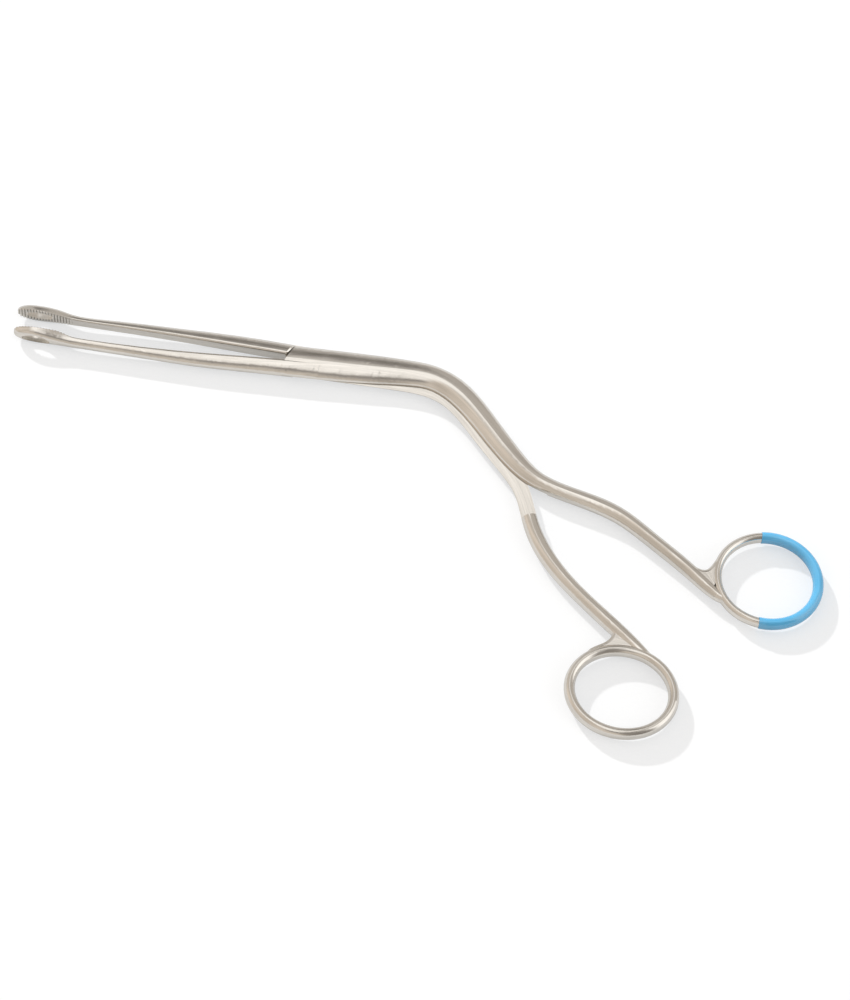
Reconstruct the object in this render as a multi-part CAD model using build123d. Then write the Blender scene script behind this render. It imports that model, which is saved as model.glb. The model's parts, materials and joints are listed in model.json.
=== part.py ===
from build123d import *
import math
import os

# Magill forceps: a long, bent grasping forceps with a half lap joint, fenestrated oval jaws and two
# finger rings, one of them dipped in a blue coat. Millimetres, Z up, the instrument lies flat.
# While the levers are drawn the joint axis is the Z axis, Z is 0 at the lap, the shaft lies along X
# and the jaws are closed towards -X. Then the back lever is swung open to its rest place, and all
# parts move so that the origin is the middle of the underside.

# driving dimensions
rest_opening = 3.26
joint_place = (-29.81, 50.185, 3.3855)
lap_gap = 0.05
shaft_half_thick = 2.8
handle_half_thick = 2.55
handle_end_share = 0.12
handle_end_thinning = 0.6

# finger rings: half length and half breadth of the centre line, its turn in degrees, width and
# height of the section, and the point of the centre line that stays on the handle
front_ring_long = 15.05
front_ring_short = 13.7
front_ring_turn = -8.0
front_ring_width = 2.8
front_ring_height = 4.3
front_ring_near = (122.2, -51.66)
back_ring_long = 15.3
back_ring_short = 12.85
back_ring_turn = -2.5
back_ring_width = 3.25
back_ring_height = 4.9
back_ring_top = (102.88, -75.42)

# blue coat of the front ring, and where its straight dip line lies from the ring's centre
coat = 0.19
dip_line_offset = -2.24
dip_line_tilt = 2.06

# filled corner between each handle and its ring: where it starts on the handle, then its rounded
# notch as shares of the distance from there to the ring, along and across
web_half_thick = 1.7
web_edge_round = 1.1
front_web_start = (112.6, -50.3)
front_notch = [(0.192, -0.264), (0.295, -0.312), (0.394, -0.28), (0.491, -0.216), (0.65, -0.098)]
back_web_start = (97.0, -70.4)
back_notch = [(0.113, 0.066), (0.248, 0.073), (0.663, -0.075), (0.854, -0.108)]
# angles on each ring where the notch ends, where the filled corner ends and where the handle ends
front_angles = (142, 196, 222.2)
back_angles = (141, 71, 63.6)
end_half_width = (1.25, 1.15)

# pivot pin
pin_radius = 2.0
pin_head_radius = 2.9
pin_head_seat = 1.6
pin_length_in_front = 1.9
pin_running = 0.03

# diagonal shoulder of the lap joint
shoulder_top = (-9.4, 5.15)
shoulder_foot = (-12.4, -0.85)
shoulder_clear = 0.1
shoulder_bevel = 0.55

# window of each jaw
window_x = -87.4
window_half_long = 4.05
window_half_wide = 1.8
window_flare = 0.25

# stations of the front lever: x, y, half width across the bar
front_line = [
    (-16.0, 0.0, 5.12), (0.0, 0.0, 5.04), (16.0, 0.2, 4.68), (27.0, 0.25, 4.15), (31.0, -0.1, 4.02),
    (39.2, -3.5, 3.97), (43.5, -7.0, 3.88), (48.8, -12.6, 3.68), (58.9, -23.85, 3.3), (66.6, -29.95, 2.7),
    (71.0, -31.75, 2.5), (87.1, -36.35, 2.53), (92.0, -38.4, 2.47), (101.4, -44.45, 2.25),
    (116.1, -55.12, 2.15), (120.95, -59.0, 1.86),
]
# stations of the back lever
back_line = [
    (-16.0, 0.0, 4.95), (0.0, 0.0, 4.92), (22.0, 0.08, 4.46), (30.0, -0.5, 4.1), (37.4, -2.65, 3.96),
    (45.0, -8.4, 3.74), (49.8, -13.5, 3.56), (58.9, -23.2, 2.99), (64.15, -30.3, 2.4), (68.5, -40.4, 2.36),
    (70.6, -44.35, 2.43), (81.65, -56.88, 2.26), (86.95, -61.08, 2.2), (102.0, -71.85, 2.14),
    (105.6, -74.35, 1.8),
]
# where each bar steps from half to full thickness: x, y, direction of the bar in degrees
front_step = (70.7, -31.7, -18.2)
back_step = (67.5, -38.3, -68.2)

# both jaws and shanks: x, half thickness, squareness of the back (0.55 is an ellipse), radius of the
# corners of the flat, then the flat and the outer surface of the low jaw and of the high jaw
jaw_stations = [
    (-2.0, 2.68, 0.55, 0.75, -0.5, -5.0, 0.42, 4.5),
    (-9.0, 2.76, 0.55, 0.75, -0.58, -5.06, 0.42, 4.62),
    (-15.0, 2.75, 0.55, 0.75, -0.72, -5.08, 0.43, 4.7),
    (-24.0, 2.63, 0.55, 0.75, -1.02, -5.16, 0.45, 4.7),
    (-37.0, 2.4, 0.55, 0.75, -1.42, -5.24, 0.5, 4.26),
    (-47.0, 2.24, 0.55, 0.72, -1.6, -4.92, 0.5, 3.74),
    (-57.0, 2.12, 0.55, 0.64, -1.62, -4.4, 0.42, 3.26),
    (-67.0, 2.02, 0.56, 0.52, -1.48, -3.92, 0.26, 2.62),
    (-74.0, 2.0, 0.57, 0.42, -1.26, -3.6, 0.17, 2.24),
    (-77.3, 2.12, 0.6, 0.38, -0.9, -3.44, 0.18, 2.38),
    (-79.4, 2.36, 0.64, 0.34, -0.25, -3.25, 0.24, 2.7),
    (-81.2, 2.62, 0.67, 0.31, 0.14, -3.16, 0.31, 3.02),
    (-83.6, 2.98, 0.7, 0.28, 0.24, -2.94, 0.36, 3.22),
    (-86.5, 3.3, 0.72, 0.26, 0.24, -2.66, 0.36, 3.22),
    (-88.8, 3.38, 0.72, 0.25, 0.24, -2.44, 0.36, 3.12),
    (-90.8, 3.16, 0.7, 0.25, 0.24, -2.3, 0.36, 2.98),
    (-92.4, 2.64, 0.68, 0.25, 0.22, -2.05, 0.38, 2.7),
    (-93.5, 1.96, 0.64, 0.25, 0.16, -1.68, 0.44, 2.3),
    (-94.1, 1.2, 0.6, 0.25, 0.0, -1.15, 0.6, 1.78),
]
# sections along each bar, and a length larger than any distance in the instrument
rod_sections = 32
beyond = 200


def ring_point(centre, oval, angle):
    """A point in plan on the centre line of a ring. An oval is half length, half breadth and turn."""
    along = oval[0] * math.cos(math.radians(angle))
    across = oval[1] * math.sin(math.radians(angle))
    turn = math.radians(oval[2])
    x = centre[0] + along * math.cos(turn) - across * math.sin(turn)
    y = centre[1] + along * math.sin(turn) + across * math.cos(turn)
    return x, y


def ring_centre(point, oval, angle):
    """The centre of the ring whose centre line has this point at this angle."""
    x, y = ring_point((0, 0), oval, angle)
    return point[0] - x, point[1] - y


def ring_axis(oval):
    """The direction of a ring's length in plan."""
    return math.cos(math.radians(oval[2])), math.sin(math.radians(oval[2])), 0


def rod(line):
    """A smooth bar with an oval section, thinner where it meets its ring.
    One curve runs through the stations, with the half width as its height, and evenly spaced
    sections are taken from it."""
    spine = Edge.make_spline([Vector(*station) for station in line])
    sections = []
    for i in range(rod_sections):
        share = i / (rod_sections - 1)
        middle = spine @ share
        ahead = spine % share
        thick = shaft_half_thick + (handle_half_thick - shaft_half_thick) * share
        end = max(0.0, share - 1 + handle_end_share) / handle_end_share
        plane = Plane(origin=(middle.X, middle.Y, 0), x_dir=(-ahead.Y, ahead.X, 0), z_dir=(ahead.X, ahead.Y, 0))
        sections.append(Wire([Edge.make_ellipse(middle.Z, thick - handle_end_thinning * end, plane)]))
    return Solid.make_loft(sections, False)


def jaw_arm(side):
    """Jaw and shank in one: flat towards the other jaw, rounded outside. side is -1 low, 1 high."""
    sections = []
    for x, thick, full, corner, low_flat, low_outer, high_flat, high_outer in jaw_stations:
        flat = high_flat if side > 0 else low_flat
        crown = high_outer if side > 0 else low_outer
        depth = abs(crown - flat)
        base = flat + side * corner
        bulge = base + side * full * (depth - corner)
        shelf = full * thick
        under = Plane(origin=(x, base, corner - thick), x_dir=(0, side, 0), z_dir=(side, 0, 0))
        over = Plane(origin=(x, base, thick - corner), x_dir=(0, side, 0), z_dir=(side, 0, 0))
        sections.append(Wire([
            Edge.make_circle(corner, under, 180, 270),
            Edge.make_bezier((x, base, -thick), (x, bulge, -thick), (x, crown, -shelf), (x, crown, 0)),
            Edge.make_bezier((x, crown, 0), (x, crown, shelf), (x, bulge, thick), (x, base, thick)),
            Edge.make_circle(corner, over, 90, 180),
            Edge.make_line((x, flat, thick - corner), (x, flat, corner - thick)),
        ]))
    return Solid.make_loft(sections, False)


def jaw_window(side):
    """The oval window of a jaw, a little wider outside than at the grip."""
    wires = []
    for y, extra in ((-0.5, 0.0), (3.5, window_flare)):
        plane = Plane(origin=(window_x, side * y, 0), x_dir=(1, 0, 0), z_dir=(0, side, 0))
        wires.append(Wire([Edge.make_ellipse(window_half_long + extra, window_half_wide + extra, plane)]))
    return Solid.make_loft(wires, True)


def ring(centre, oval, width, height):
    """A closed oval finger ring with an oval section."""
    plane = Plane(origin=(centre[0], centre[1], 0), x_dir=ring_axis(oval), z_dir=(0, 0, 1))
    path = Wire([Edge.make_ellipse(oval[0], oval[1], plane)])
    x, y = ring_point(centre, oval, 0)
    dx, dy, dz = ring_axis(oval)
    start = Plane(origin=(x, y, 0), x_dir=(dx, dy, dz), z_dir=(-dy, dx, 0))
    return Solid.sweep(Face(Wire([Edge.make_ellipse(width / 2, height / 2, start)])), path)


def web(start, notch, centre, oval, angles, bar_line):
    """The filled corner between a handle and its ring.
    The notch runs from the handle to the ring, then the outline follows the ring's centre line
    and returns along the middle of the handle."""
    low = -web_half_thick
    end = ring_point(centre, oval, angles[0])
    dx = end[0] - start[0]
    dy = end[1] - start[1]
    edge = [start] + [(start[0] + u * dx - v * dy, start[1] + u * dy + v * dx) for u, v in notch] + [end]
    back = [ring_point(centre, oval, angles[1]), bar_line[-2][:2], bar_line[-3][:2], start]
    curve = Edge.make_spline([Vector(x, y, low) for x, y in edge])
    plane = Plane(origin=(centre[0], centre[1], low), x_dir=ring_axis(oval), z_dir=(0, 0, 1))
    arc = Edge.make_ellipse(oval[0], oval[1], plane, min(angles[:2]), max(angles[:2]))
    lines = [Edge.make_line(Vector(*a, low), Vector(*b, low)) for a, b in zip(back[:-1], back[1:])]
    body = Solid.extrude(Face(Wire([curve, arc] + lines)), Vector(0, 0, 2 * web_half_thick))
    return body.fillet(web_edge_round, [e for e in body.edges() if e.geom_type == GeomType.BSPLINE])


def half_cut(step, low, high):
    """The block on the jaw side of a step, between two heights."""
    x, y, angle = step
    dx = math.cos(math.radians(angle)) * beyond
    dy = math.sin(math.radians(angle)) * beyond
    plane = Plane(origin=(x - dx + dy, y - dy - dx, low), x_dir=(dx, dy, 0), z_dir=(0, 0, 1))
    return Solid.make_box(beyond, 2 * beyond, high - low, plane)


def shoulder_line(side, clear):
    """Two points of the diagonal shoulder in plan, moved by a clearance away from the joint axis.
    side is 1 for the front lever's end and -1 for the back lever's."""
    dx = shoulder_top[0] - shoulder_foot[0]
    dy = shoulder_top[1] - shoulder_foot[1]
    size = math.hypot(dx, dy)
    mx = -dy / size * clear
    my = dx / size * clear
    top = (shoulder_top[0] + dx + mx, side * (shoulder_top[1] + dy + my))
    foot = (shoulder_foot[0] + mx, side * (shoulder_foot[1] + my))
    return top, foot


def shoulder_block(side, clear, far_x, low, high):
    """Everything between the shoulder and far_x, between two heights."""
    top, foot = shoulder_line(side, clear)
    plan = [top, foot, (foot[0], -side * beyond), (far_x, -side * beyond), (far_x, top[1])]
    face = Face(Wire.make_polygon([Vector(x, y, low) for x, y in plan], close=True))
    return Solid.extrude(face, Vector(0, 0, high - low))


def post(radius, low, high):
    """A round post on the joint axis."""
    return Solid.make_cylinder(radius, high - low, Plane(origin=(0, 0, low)))


def whole(shape):
    """The main solid of a cut or joined shape."""
    return max(shape.solids(), key=lambda s: s.volume)


def on_shoulder(edge):
    """True for the upper rim of the back lever's diagonal end face."""
    top, foot = shoulder_line(1, shoulder_clear)
    size = math.dist(top, foot)
    nx = -(top[1] - foot[1]) / size
    ny = (top[0] - foot[0]) / size
    points = [edge @ share for share in (0.0, 0.3, 0.5, 0.7, 1.0)]
    off = max(abs((p.X - foot[0]) * nx + (p.Y - foot[1]) * ny) for p in points)
    return off < 0.01 and min(p.Z for p in points) > -lap_gap and points[2].Z > 0.8


def front_lever():
    """Upper half of the shaft, low jaw, and the handle with the coated ring."""
    bar = rod(front_bar_line) - half_cut(front_step, -beyond, lap_gap / 2)
    bar = bar - shoulder_block(1, 0.0, -beyond, -beyond, beyond)
    arm = jaw_arm(-1) - jaw_window(-1) - shoulder_block(-1, 0.0, beyond, -beyond, lap_gap / 2)
    corner = web(front_web_start, front_notch, front_ring, front_oval, front_angles, front_bar_line)
    body = whole(arm + bar) + ring(front_ring, front_oval, front_ring_width, front_ring_height) + corner
    return whole(body - post(pin_radius, -pin_head_seat, pin_length_in_front))


def back_lever(bar):
    """Lower half of the shaft, high jaw, and the handle with the bare ring."""
    bar = bar - half_cut(back_step, -lap_gap / 2, beyond)
    bar = bar - shoulder_block(-1, -shoulder_clear, -beyond, -beyond, beyond)
    arm = jaw_arm(1) - jaw_window(1) - shoulder_block(1, shoulder_clear, beyond, -lap_gap / 2, beyond)
    arm = whole(arm)
    arm = arm.chamfer(shoulder_bevel, None, [e for e in arm.edges() if on_shoulder(e)])
    corner = web(back_web_start, back_notch, back_ring, back_oval, back_angles, back_bar_line)
    body = whole(arm + bar) + ring(back_ring, back_oval, back_ring_width, back_ring_height) + corner
    body = body - post(pin_radius + pin_running, -beyond, beyond)
    return whole(body - post(pin_head_radius + pin_running, -beyond, -pin_head_seat))


def pivot_pin(bar):
    """A headed rivet: pressed into the front lever, its head ground to the back of the shaft."""
    head = post(pin_head_radius, -beyond, -pin_head_seat - pin_running) & bar
    return whole(head + post(pin_radius, -pin_head_seat - pin_running, pin_length_in_front))


def ring_coat(lever):
    """The blue dipped coat on the outer part of the front finger ring."""
    skin = ring(front_ring, front_oval, front_ring_width + 2 * coat, front_ring_height + 2 * coat)
    bare = half_cut((front_ring[0] + dip_line_offset, front_ring[1], dip_line_tilt), -beyond, beyond)
    return whole(skin - bare - lever)


front_oval = (front_ring_long, front_ring_short, front_ring_turn)
back_oval = (back_ring_long, back_ring_short, back_ring_turn)
front_ring = ring_centre(front_ring_near, front_oval, 180)
back_ring = ring_centre(back_ring_top, back_oval, 90)
front_bar_line = front_line + [(*ring_point(front_ring, front_oval, front_angles[2]), end_half_width[0])]
back_bar_line = back_line + [(*ring_point(back_ring, back_oval, back_angles[2]), end_half_width[1])]
back_bar = rod(back_bar_line)
front = front_lever()
parts = {
    "front_lever": front,
    "back_lever": back_lever(back_bar).moved(Location((0, 0, 0), (0, 0, -rest_opening))),
    "pivot_pin": pivot_pin(back_bar),
    "ring_coat": ring_coat(front),
}
os.makedirs("parts", exist_ok=True)
for name, solid in parts.items():
    export_step(solid.moved(Location(joint_place)), "parts/" + name + ".step")
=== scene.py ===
import bpy
import bmesh
import json
import math
import numpy as np
from mathutils import Matrix, Vector
from mathutils.bvhtree import BVHTree


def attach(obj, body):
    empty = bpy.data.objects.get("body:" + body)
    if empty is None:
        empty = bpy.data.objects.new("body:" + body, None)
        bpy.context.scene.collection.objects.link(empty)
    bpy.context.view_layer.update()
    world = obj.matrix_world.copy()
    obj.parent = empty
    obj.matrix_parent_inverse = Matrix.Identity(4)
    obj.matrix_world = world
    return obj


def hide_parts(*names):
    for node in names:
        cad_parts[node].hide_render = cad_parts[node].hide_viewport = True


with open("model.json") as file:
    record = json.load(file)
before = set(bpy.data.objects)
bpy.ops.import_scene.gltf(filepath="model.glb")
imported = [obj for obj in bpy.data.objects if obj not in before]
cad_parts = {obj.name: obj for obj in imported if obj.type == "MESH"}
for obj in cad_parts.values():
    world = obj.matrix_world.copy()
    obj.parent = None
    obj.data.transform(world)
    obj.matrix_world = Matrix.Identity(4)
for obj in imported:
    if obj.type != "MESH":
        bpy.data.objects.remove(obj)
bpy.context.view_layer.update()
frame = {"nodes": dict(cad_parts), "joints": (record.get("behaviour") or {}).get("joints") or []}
nodes = frame["nodes"]

# Lengths are in metres where nothing else is said. Both levers are described in millimetres from
# the joint's axis at the lap, with x along the shaft and y across it.
MM = 0.001
JOINT = Vector(frame["joints"][0]["pos_m"])
REST_OPENING = math.radians(-3.26)

# the photograph's camera
CAMERA_TILT = math.radians(24.0)
CAMERA_ROLL = math.radians(6.5)
CAMERA_FROM_JOINT = Vector((0.034135, -0.508078, 1.050577))
CAMERA_LENS = 139.865
CAMERA_SENSOR = 36.0
CAMERA_CLIP = (0.05, 20.0)

# the lamp that draws the shadow: small and far off, behind and to the left, about 31 degrees up
LAMP_DIRECTION = Vector((-0.555, 0.654, 0.515))
LAMP_DISTANCE = 4.0
LAMP_SIZE = 0.15
LAMP_POWER = 100.0

# the floor: its paint takes the shadow, its glow fills it up to white for the camera, and to a
# pale grey in reflections
FLOOR_REACH = 3.0
FLOOR_PAINT = (0.5, 0.5, 0.5)
FLOOR_GLOW = (0.972, 1.0, 1.03)
FLOOR_GLOW_FOR_CAMERA = 0.533
FLOOR_GLOW_IN_REFLECTIONS = 0.33

# colours and roughness of the finishes
SATIN_COLOUR, SATIN_ROUGHNESS = (0.80, 0.765, 0.71), 0.19
PIN_COLOUR, PIN_ROUGHNESS = (0.74, 0.71, 0.67), 0.23
PIT_COLOUR = (0.55, 0.53, 0.5)
COAT_DEEP, COAT_PALE = (0.10, 0.50, 0.87), (0.12, 0.54, 0.92)

# cross grooves of the two gripping faces, in millimetres: where along the lever they run, how far
# from the last one they grow shallow, and how narrow the shallowest is
GROOVE_PITCH = 0.9
GROOVE_DEPTH = 0.38
GROOVE_HALF_WIDTH = 0.39
GROOVE_FIRST = -93.75
GROOVE_LAST = -77.2
GROOVE_FADE = 2.5
GROOVE_FADE_REST = 0.6
GROOVE_NARROWEST = 0.35
# the comb that cuts them: half its width, how far its teeth stand out of the face, and the rays
# that find the face, which start outside the jaw
COMB_REACH = 4.5
COMB_CLEAR = 0.8
PROBE_START = 6
PROBE_LENGTH = 9
PROBE_ACROSS = (0.0, 2.2, -2.2)
PROBE_STEP = 0.2

# corners closer than this are one, in millimetres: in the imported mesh, and where grooves cut it
PACKED_GAP = 0.0005
CUT_GAP = 0.005
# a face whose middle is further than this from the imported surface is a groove's
OFF_SURFACE = 0.005

# middle of each lever in plan, in millimetres, and its finger ring as middle and radius: the
# grinding marks run along them
FRONT_LINE = [
    (-94, -1.0), (-78, -2.2), (-50, -3.2), (-20, -2.6), (0, 0), (27, 0.2), (35, -1.6),
    (43.5, -7.0), (59, -23.9), (67, -30.0), (87, -36.4), (101, -44.4), (121, -59.0),
]
BACK_LINE = [
    (-94, 1.2), (-78, 1.4), (-50, 2.1), (-20, 2.4), (0, 0), (30, -0.5), (37.4, -2.7),
    (45, -8.4), (59, -23.3), (64.5, -31), (68.5, -40.4), (72, -46), (82, -57), (102, -71.9),
]
FRONT_RING = (137.1, -53.75, 14.4)
BACK_RING = (102.3, -88.25, 14.1)


class NodeKit:
    """Short ways to build one node tree. An input takes a value or the socket that feeds it."""

    def __init__(self, tree):
        tree.nodes.clear()
        self.tree = tree

    def add(self, kind, inputs=None, **settings):
        made = self.tree.nodes.new(kind)
        for key, value in settings.items():
            setattr(made, key, value)
        for key, value in (inputs or {}).items():
            if isinstance(value, bpy.types.NodeSocket):
                self.tree.links.new(value, made.inputs[key])
            else:
                made.inputs[key].default_value = value
        return made

    def calc(self, operation, *values):
        return self.add("ShaderNodeMath", dict(enumerate(values)), operation=operation).outputs[0]

    def remap(self, value, low, high, to_low=0.0, to_high=1.0, easing="LINEAR"):
        """A value from low to high, drawn out to another range and held there outside it."""
        return self.add("ShaderNodeMapRange", {
            "Value": value, "From Min": low, "From Max": high,
            "To Min": to_low, "To Max": to_high,
        }, interpolation_type=easing).outputs[0]

    def step(self, value, low, high):
        return self.remap(value, low, high, easing="SMOOTHSTEP")

    def mix(self, share, a, b, blend="MIX"):
        return self.add("ShaderNodeMixRGB", {
            "Fac": share, "Color1": a, "Color2": b,
        }, blend_type=blend).outputs["Color"]

    def colours(self, value, stops, easing="LINEAR"):
        """A colour ramp over a value. Its stops are (place, (r, g, b))."""
        made = self.add("ShaderNodeValToRGB", {"Fac": value})
        made.color_ramp.interpolation = easing
        points = made.color_ramp.elements
        while len(points) > 1:
            points.remove(points[-1])
        points[0].position = stops[0][0]
        points[0].color = (*stops[0][1], 1)
        for place, colour in stops[1:]:
            points.new(place).color = (*colour, 1)
        return made.outputs["Color"]

    def noise(self, vector, stretch, detail):
        """Soft noise with so many cells in a metre along each direction."""
        placed = self.add("ShaderNodeMapping", {"Vector": vector, "Scale": stretch})
        return self.add("ShaderNodeTexNoise", {
            "Vector": placed.outputs[0], "Scale": 1.0, "Detail": detail,
        }).outputs["Fac"]

    def bump(self, height, distance, before=None):
        inputs = {"Height": height, "Strength": 1.0, "Distance": distance}
        if before:
            inputs["Normal"] = before
        return self.add("ShaderNodeBump", inputs).outputs[0]


def new_material(name):
    """An empty node material, with its kit and the input that its shader goes to."""
    material = bpy.data.materials.new(name)
    material.use_nodes = True
    kit = NodeKit(material.node_tree)
    return material, kit, kit.add("ShaderNodeOutputMaterial").inputs["Surface"]


def grey(v, warm=0.0):
    """A grey, made warmer by taking from green and more from blue."""
    return v, v * (1 - 0.5 * warm), v * (1 - warm)


def make_world():
    """A plain studio, white for the camera. What the steel shows is a narrow bright band over its
    middle with a dark gap on each side, warm grey walls around, and a wide window on the right."""
    world = bpy.data.worlds.new("studio")
    bpy.context.scene.world = world
    world.use_nodes = True
    kit = NodeKit(world.node_tree)
    direction = kit.add("ShaderNodeTexCoord").outputs["Generated"]
    axis = kit.add("ShaderNodeSeparateXYZ", {0: direction}).outputs

    def by_angle(up, across, stops):
        """Colours by the direction's angle in one plane, given in degrees from -180 to 180."""
        turn = kit.remap(kit.calc("ARCTAN2", axis[up], axis[across]), -math.pi, math.pi)
        shares = [(0.5 + degrees / 360.0, colour) for degrees, colour in stops]
        return kit.colours(turn, shares, "EASE")

    overhead = by_angle("Y", "Z", [
        (-100, grey(0.76, 0.18)), (-80, grey(0.74, 0.18)), (-62, grey(0.62, 0.16)),
        (-50, grey(0.44, 0.12)), (-41, grey(0.26, 0.1)), (-34, grey(0.40, 0.08)),
        (-25, grey(1.04, 0.04)), (-18, grey(1.22, 0.03)), (0, grey(1.3, 0.02)),
        (14, grey(1.26, 0.02)), (28, grey(1.24, 0.03)), (34, grey(0.58, 0.08)),
        (43, grey(0.25, 0.12)), (53, grey(0.18, 0.14)), (61, grey(0.26, 0.12)),
        (70, grey(0.47, 0.1)), (88, grey(0.56, 0.08)), (100, grey(0.66, 0.05)),
    ])
    around = by_angle("Y", "X", [
        (-179, grey(0.80, 0.2)), (-152, grey(0.70, 0.2)), (-132, grey(0.62, 0.2)),
        (-112, grey(0.72, 0.18)), (-94, grey(0.62, 0.18)), (-80, grey(0.30, 0.16)),
        (-60, grey(0.26, 0.14)), (-44, grey(0.36, 0.12)), (-30, grey(0.45, 0.12)),
        (16, grey(0.56, 0.12)), (34, grey(0.54, 0.14)), (62, grey(0.52, 0.14)),
        (92, grey(0.58, 0.1)), (122, grey(0.62, 0.08)), (150, grey(0.60, 0.16)),
        (179, grey(0.80, 0.2)),
    ])
    beside = kit.calc("MAXIMUM", kit.step(axis["X"], 0.0, 0.14), kit.step(axis["X"], -0.10, -0.22))
    walls = kit.mix(beside, overhead, around)
    facing_window = by_angle("Y", "X", [
        (-46, grey(0)), (-33, grey(1)), (10, grey(1)), (22, grey(0)),
    ])
    window = kit.calc("MULTIPLY", kit.step(axis["X"], 0.22, 0.42), facing_window)
    lit = kit.mix(window, walls, (*grey(1.3, 0.02), 1))
    for_camera = kit.add("ShaderNodeLightPath").outputs["Is Camera Ray"]
    shown = kit.mix(for_camera, lit, (1, 1, 1, 1))
    background = kit.add("ShaderNodeBackground", {"Color": shown})
    kit.add("ShaderNodeOutputWorld", {"Surface": background.outputs[0]})


def make_camera():
    """The photograph's view: from the lever side, tilted and a little rolled, by a long lens."""
    data = bpy.data.cameras.new("camera")
    camera = bpy.data.objects.new("camera", data)
    bpy.context.scene.collection.objects.link(camera)
    forward = Vector((0, math.sin(CAMERA_TILT), -math.cos(CAMERA_TILT)))
    flat_up = Vector((0, math.cos(CAMERA_TILT), math.sin(CAMERA_TILT)))
    sideways = Vector((1, 0, 0))
    right = sideways * math.cos(CAMERA_ROLL) + flat_up * math.sin(CAMERA_ROLL)
    up = flat_up * math.cos(CAMERA_ROLL) - sideways * math.sin(CAMERA_ROLL)
    turned = Matrix((right, up, -forward)).transposed().to_4x4()
    camera.matrix_world = Matrix.Translation(JOINT + CAMERA_FROM_JOINT) @ turned
    data.sensor_width = CAMERA_SENSOR
    data.lens = CAMERA_LENS
    data.clip_start, data.clip_end = CAMERA_CLIP
    bpy.context.scene.camera = camera


def make_lamp():
    """The one lamp. Neither the camera nor the steel sees it: it is there for the shadow."""
    data = bpy.data.lights.new("key", "AREA")
    data.shape = "DISK"
    data.size = LAMP_SIZE
    data.energy = LAMP_POWER
    lamp = bpy.data.objects.new("key", data)
    bpy.context.scene.collection.objects.link(lamp)
    lamp.location = LAMP_DIRECTION.normalized() * LAMP_DISTANCE
    lamp.rotation_euler = (-LAMP_DIRECTION).to_track_quat("-Z", "Y").to_euler()
    lamp.visible_camera = False
    lamp.visible_glossy = False


def make_floor():
    """A plain floor, white for the camera and pale grey in reflections, which takes the shadow."""
    mesh = bpy.data.meshes.new("floor")
    r = FLOOR_REACH
    mesh.from_pydata([(-r, -r, 0), (r, -r, 0), (r, r, 0), (-r, r, 0)], [], [(0, 1, 2, 3)])
    floor = bpy.data.objects.new("floor", mesh)
    bpy.context.scene.collection.objects.link(floor)
    material, kit, surface = new_material("floor_paint")
    paint = kit.add("ShaderNodeBsdfDiffuse", {"Color": (*FLOOR_PAINT, 1)})
    seen = kit.add("ShaderNodeLightPath").outputs
    level = kit.calc("MULTIPLY", seen["Is Camera Ray"], FLOOR_GLOW_FOR_CAMERA)
    level = kit.calc("MULTIPLY_ADD", seen["Is Glossy Ray"], FLOOR_GLOW_IN_REFLECTIONS, level)
    glow = kit.add("ShaderNodeEmission", {"Color": (*FLOOR_GLOW, 1), "Strength": level})
    both = kit.add("ShaderNodeAddShader", {0: paint.outputs[0], 1: glow.outputs[0]})
    kit.tree.links.new(both.outputs[0], surface)
    mesh.materials.append(material)


def steel(name, colour, roughness, flow):
    """Satin ground stainless steel: long soft grinding waves, fine lines and soft streaks along
    the bar, clouds of duller finish, a few small pits, and painted shade that darkens the colour
    in crevices. flow says whether the piece carries its own flow directions."""
    material, kit, surface = new_material(name)
    coords = kit.add("ShaderNodeTexCoord").outputs["Object"]
    along = coords
    if flow:
        along = kit.add("ShaderNodeAttribute", attribute_name="flow").outputs["Vector"]

    def spread(noise, low, high):
        """The middle part of a noise, drawn out to a range."""
        return kit.remap(noise, 0.3, 0.7, low, high)

    clouds = kit.noise(coords, (90, 90, 90), 4)
    lines = kit.noise(along, (160, 5200, 5200), 3)
    waves = kit.noise(along, (22, 620, 620), 1)
    streaks = kit.noise(along, (34, 1300, 1300), 2)
    darker, lighter = [0.95 * c for c in colour], [min(1, 1.03 * c) for c in colour]
    tint = kit.colours(clouds, [(0.3, darker), (0.7, lighter)])

    # pits: small round cells, kept only where a second value of the cell is high
    cells = kit.add("ShaderNodeTexVoronoi", {"Vector": coords, "Scale": 420.0}).outputs
    cell_value = kit.add("ShaderNodeSeparateXYZ", {0: cells["Color"]}).outputs["X"]
    chosen = kit.calc("GREATER_THAN", cell_value, 0.86)
    pit = kit.calc("MULTIPLY", kit.step(cells["Distance"], 0.07, 0.03), chosen)
    pitted = kit.mix(pit, tint, (*PIT_COLOUR, 1), "MULTIPLY")

    # painted shade: ambient occlusion darkens the colour where close walls keep the light out,
    # between the teeth, in the lap and in the window; soft streaks along the bar vary its tone as
    # well
    crevice_occlusion = kit.add("ShaderNodeAmbientOcclusion", {"Distance": 0.7 * MM}, samples=12)
    painted_crevice_shade = kit.remap(crevice_occlusion.outputs["AO"], 0.25, 0.8, 0.1, 1.0)
    crevice_shade_and_streaks = kit.calc("MULTIPLY", painted_crevice_shade, spread(streaks, 0.89, 1.06))
    # the colour with its painted shade in the crevices and its streaks
    streaked_with_painted_shade = kit.add("ShaderNodeVectorMath", {0: pitted, "Scale": crevice_shade_and_streaks}, operation="SCALE")

    clouded = spread(clouds, roughness - 0.03, roughness + 0.03)
    shader = kit.add("ShaderNodeBsdfPrincipled", {
        "Metallic": 1.0,
        "Base Color": streaked_with_painted_shade.outputs[0],
        "Roughness": kit.calc("ADD", clouded, spread(lines, -0.03, 0.04)),
        "Normal": kit.bump(lines, 0.0007 * MM, kit.bump(waves, 0.022 * MM)),
    })
    kit.tree.links.new(shader.outputs[0], surface)
    return material


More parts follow.
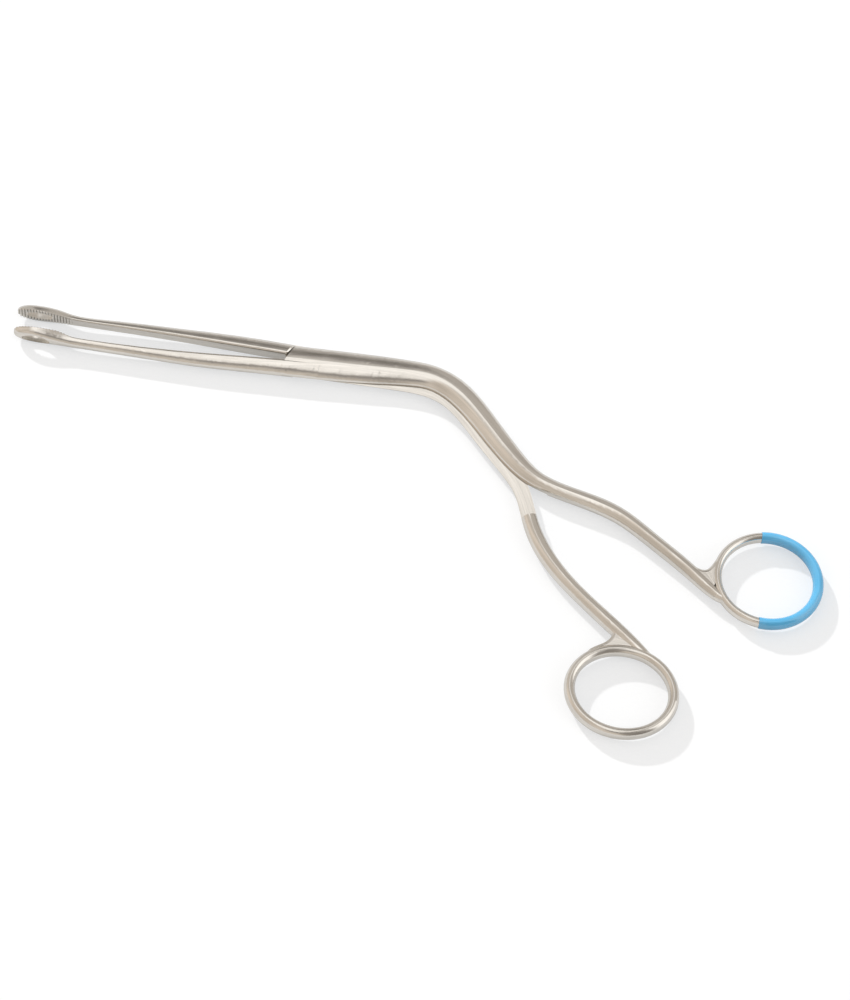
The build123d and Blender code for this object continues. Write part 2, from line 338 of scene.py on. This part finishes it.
def blue_plastic():
    """The glossy dipped coat: smooth, with a faint orange peel and small clouds of colour."""
    material, kit, surface = new_material("blue_coat")
    coords = kit.add("ShaderNodeTexCoord").outputs["Object"]
    clouds = kit.noise(coords, (140, 140, 140), 3)
    peel = kit.noise(coords, (700, 700, 700), 1)
    shader = kit.add("ShaderNodeBsdfPrincipled", {
        "IOR": 1.6,
        "Specular IOR Level": 0.9,
        "Base Color": kit.colours(clouds, [(0.35, COAT_DEEP), (0.65, COAT_PALE)]),
        "Roughness": kit.remap(clouds, 0.0, 1.0, 0.06, 0.14),
        "Normal": kit.bump(peel, 0.008 * MM),
    })
    kit.tree.links.new(shader.outputs[0], surface)
    return material


def welded(mesh, gap):
    """A copy of a mesh in which corners closer than the gap are one, and its faces share them."""
    work = bmesh.new()
    work.from_mesh(mesh)
    bmesh.ops.remove_doubles(work, verts=work.verts, dist=gap)
    bmesh.ops.dissolve_degenerate(work, edges=work.edges, dist=0.2 * gap)
    made = bpy.data.meshes.new(mesh.name + "_solid")
    work.to_mesh(made)
    work.free()
    return made


def groove_cutter(name, tree, place, side):
    """The comb that cuts the cross grooves of one jaw. Each of its teeth is a pointed bar across
    the jaw, set on the gripping face where rays find it. side is -1 for the low jaw, 1 for the
    high."""
    toward = place.to_3x3() @ Vector((0, side, 0))

    def face_height(x):
        """How far the gripping face is from the lever's line there, or None beside the jaw."""
        found = []
        for z in PROBE_ACROSS:
            start = place @ (Vector((x, -side * PROBE_START, z)) * MM)
            hit = tree.ray_cast(start, toward, PROBE_LENGTH * MM)[0]
            if hit:
                found.append(-side * (place.inverted() @ hit).y / MM)
        return max(found) if found else None

    work = bmesh.new()
    x = GROOVE_FIRST
    while x < GROOVE_LAST:
        here, before, after = map(face_height, (x, x - PROBE_STEP, x + PROBE_STEP))
        if None not in (here, before, after):
            fading = (GROOVE_LAST - x + GROOVE_FADE_REST) / GROOVE_FADE
            depth = GROOVE_DEPTH * min(1.0, fading)
            narrowed = GROOVE_NARROWEST + (1 - GROOVE_NARROWEST) * depth / GROOVE_DEPTH
            half = GROOVE_HALF_WIDTH * narrowed
            run = Vector((2 * PROBE_STEP, -side * (after - before), 0)).normalized()
            away = Vector((-run.y, run.x, 0)) * (1 if -side * run.x > 0 else -1)
            middle = Vector((x, -side * here, 0))
            clear = away * COMB_CLEAR
            outline = [
                middle - away * depth, middle + run * half, middle + run * half + clear,
                middle - run * half + clear, middle - run * half,
            ]
            ends = []
            for z in (-COMB_REACH, COMB_REACH):
                shift = Vector((0, 0, z))
                ends.append([work.verts.new(place @ ((p + shift) * MM)) for p in outline])
            work.faces.new(ends[0])
            work.faces.new(reversed(ends[1]))
            for i in range(len(outline)):
                j = (i + 1) % len(outline)
                work.faces.new((ends[0][i], ends[1][i], ends[1][j], ends[0][j]))
        x += GROOVE_PITCH
    bmesh.ops.recalc_face_normals(work, faces=work.faces)
    mesh = bpy.data.meshes.new(name)
    work.to_mesh(mesh)
    work.free()
    cutter = bpy.data.objects.new(name, mesh)
    bpy.context.scene.collection.objects.link(cutter)
    return cutter


def corner_shares(p, a, b, c):
    """How much each corner of a triangle counts at a point in it."""
    u, v, w = b - a, c - a, p - a
    uu, uv, vv, wu, wv = u.dot(u), u.dot(v), v.dot(v), w.dot(u), w.dot(v)
    size = uu * vv - uv * uv
    if abs(size) < 1e-24:
        return 1.0, 0.0, 0.0
    s = (vv * wu - uv * wv) / size
    t = (uu * wv - uv * wu) / size
    return 1 - s - t, s, t


def keep_normals(made, source, tree):
    """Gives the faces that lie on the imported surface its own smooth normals, and leaves the cut
    faces flat. Each corner is looked up a little inside its face, to stay on that side of an
    edge."""
    smooth = np.empty(len(source.loops) * 3)
    source.corner_normals.foreach_get("vector", smooth)
    smooth = smooth.reshape(-1, 3)
    loops = [tuple(face.loop_indices) for face in source.polygons]
    corners = [[source.vertices[i].co for i in face.vertices] for face in source.polygons]
    normals = []
    for face in made.polygons:
        middle = face.center
        on_surface = tree.find_nearest(middle)
        if on_surface[0] is None or on_surface[3] > OFF_SURFACE * MM:
            normals += [face.normal[:]] * len(face.loop_indices)
            continue
        for vertex in face.vertices:
            near = tree.find_nearest(made.vertices[vertex].co.lerp(middle, 0.03))
            shares = corner_shares(near[0], *corners[near[2]])
            normal = sum(share * smooth[i] for share, i in zip(shares, loops[near[2]]))
            normals.append(Vector(normal).normalized()[:])
    made.normals_split_custom_set(normals)


def rounded(line):
    """A line of points with its corners cut again and again, until it bends smoothly."""
    for _ in range(4):
        made = [line[0]]
        for (ax, ay), (bx, by) in zip(line[:-1], line[1:]):
            made.append((0.75 * ax + 0.25 * bx, 0.75 * ay + 0.25 * by))
            made.append((0.25 * ax + 0.75 * bx, 0.25 * ay + 0.75 * by))
        made.append(line[-1])
        line = made
    return line


def add_flow(mesh, place, line, ring):
    """Writes for each vertex how far along the lever it is, how far to the side and how high."""
    count = len(mesh.vertices)
    where = np.empty(count * 3)
    mesh.vertices.foreach_get("co", where)
    back = np.array(place.inverted())
    local = (where.reshape(-1, 3) @ back[:3, :3].T + back[:3, 3]) / MM
    flow = np.zeros((count, 3))
    best = np.full(count, np.inf)
    run = 0.0
    smooth = rounded(line)
    for (ax, ay), (bx, by) in zip(smooth[:-1], smooth[1:]):
        size = math.hypot(bx - ax, by - ay)
        tx, ty = (bx - ax) / size, (by - ay) / size
        dx, dy = local[:, 0] - ax, local[:, 1] - ay
        ahead = np.clip(dx * tx + dy * ty, 0, size)
        off = np.hypot(dx - ahead * tx, dy - ahead * ty)
        nearer = off < best
        best[nearer] = off[nearer]
        flow[nearer, 0] = run + ahead[nearer]
        flow[nearer, 1] = (dy * tx - dx * ty)[nearer]
        run += size
    middle_x, middle_y, radius = ring
    dx, dy = local[:, 0] - middle_x, local[:, 1] - middle_y
    off_ring = np.hypot(dx, dy) - radius
    on_ring = np.abs(off_ring) < best
    flow[on_ring, 0] = np.abs(np.arctan2(dy, dx))[on_ring] * radius
    flow[on_ring, 1] = off_ring[on_ring]
    flow[:, 2] = local[:, 2]
    written = mesh.attributes.new("flow", "FLOAT_VECTOR", "POINT")
    written.data.foreach_set("vector", (flow * MM).ravel())


def lever_piece(node, body, material, place, side, line, ring):
    """A lever as the CAD has it, with the grooves of its jaw cut in."""
    source = nodes[node].data
    points = [v.co for v in source.vertices]
    tree = BVHTree.FromPolygons(points, [tuple(f.vertices) for f in source.polygons])
    piece = bpy.data.objects.new(node + "_cut", welded(source, PACKED_GAP * MM))
    bpy.context.scene.collection.objects.link(piece)
    cutter = groove_cutter(node + "_grooves", tree, place, side)
    cut = piece.modifiers.new("grooves", "BOOLEAN")
    cut.operation = "DIFFERENCE"
    cut.solver = "EXACT"
    cut.object = cutter
    bpy.context.view_layer.update()
    evaluated = piece.evaluated_get(bpy.context.evaluated_depsgraph_get())
    made = welded(bpy.data.meshes.new_from_object(evaluated), CUT_GAP * MM)
    piece.modifiers.clear()
    piece.data = made
    bpy.data.objects.remove(cutter)
    made.name = node + "_cut"
    made.polygons.foreach_set("use_smooth", [True] * len(made.polygons))
    keep_normals(made, source, tree)
    add_flow(made, place, line, ring)
    made.materials.clear()
    made.materials.append(material)
    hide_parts(node)
    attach(piece, body)


def dress(node, material):
    """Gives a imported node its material."""
    for slot in nodes[node].material_slots:
        slot.link = "OBJECT"
        slot.material = material


make_world()
make_camera()
make_lamp()
make_floor()
satin = steel("satin_steel", SATIN_COLOUR, SATIN_ROUGHNESS, True)
at_joint = Matrix.Translation(JOINT)
swung = at_joint @ Matrix.Rotation(REST_OPENING, 4, "Z")
lever_piece("front_lever", "front", satin, at_joint, -1, FRONT_LINE, FRONT_RING)
lever_piece("back_lever", "back", satin, swung, 1, BACK_LINE, BACK_RING)
dress("pivot_pin", steel("pin_steel", PIN_COLOUR, PIN_ROUGHNESS, False))
dress("ring_coat", blue_plastic())
bpy.context.scene.view_settings.view_transform = "Standard"
